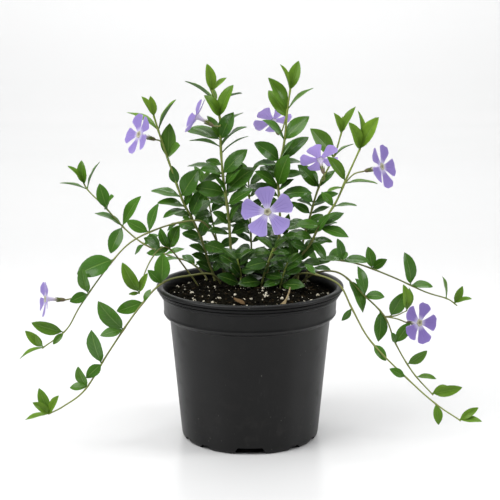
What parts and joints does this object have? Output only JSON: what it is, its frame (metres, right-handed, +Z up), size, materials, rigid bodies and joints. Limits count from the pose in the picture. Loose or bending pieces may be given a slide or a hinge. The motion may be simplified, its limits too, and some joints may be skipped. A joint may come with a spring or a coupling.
{
  "type": "potted flowering plant",
  "caption": "Trailing evergreen periwinkle with violet pinwheel flowers, growing in a round tapered nursery pot with drain notches; a plant to stand on a floor, table or shelf.",
  "frame": {"origin": "on the floor under the middle of the pot, which is also the bottom centre of the bounding box to within 2 mm", "axes": "+Z up, +X to the right as seen from the front, along the plant's widest spread, and -Y towards the front of the plant"},
  "size_m": [0.2953, 0.1385, 0.2403],
  "materials": {
    "pot_plastic": "satin black",
    "potting_soil": "rough, moist, dark brown, with pale grains",
    "foliage": "smooth, slightly glossy leaves on green stems",
    "petals": "soft, matt, violet-blue with a pale throat"
  },
  "bodies": {
    "root": {"pot": "pot_plastic", "soil": "potting_soil", "stem_left": "foliage", "stem_middle_left": "foliage", "stem_middle_right": "foliage", "stem_right_back": "foliage", "stem_right_front": "foliage", "trailer_left_back": "foliage", "trailer_left_high": "foliage", "trailer_left_short": "foliage", "trailer_left_front": "foliage", "trailer_right_back": "foliage", "trailer_right_middle": "foliage", "trailer_right_front": "foliage", "shoot_front_middle": "foliage", "shoot_front_left": "foliage", "shoot_front_right": "foliage", "shoot_back_middle": "foliage", "shoot_back_left": "foliage", "shoot_back_right": "foliage", "bloom_front": "petals", "bloom_left_top": "petals", "bloom_middle_left_top": "petals", "bloom_middle_right_top": "petals", "bloom_right_back": "petals", "bloom_right_top": "petals", "bloom_left_low": "petals", "bloom_right_low": "petals"}
  },
  "joints": []
}
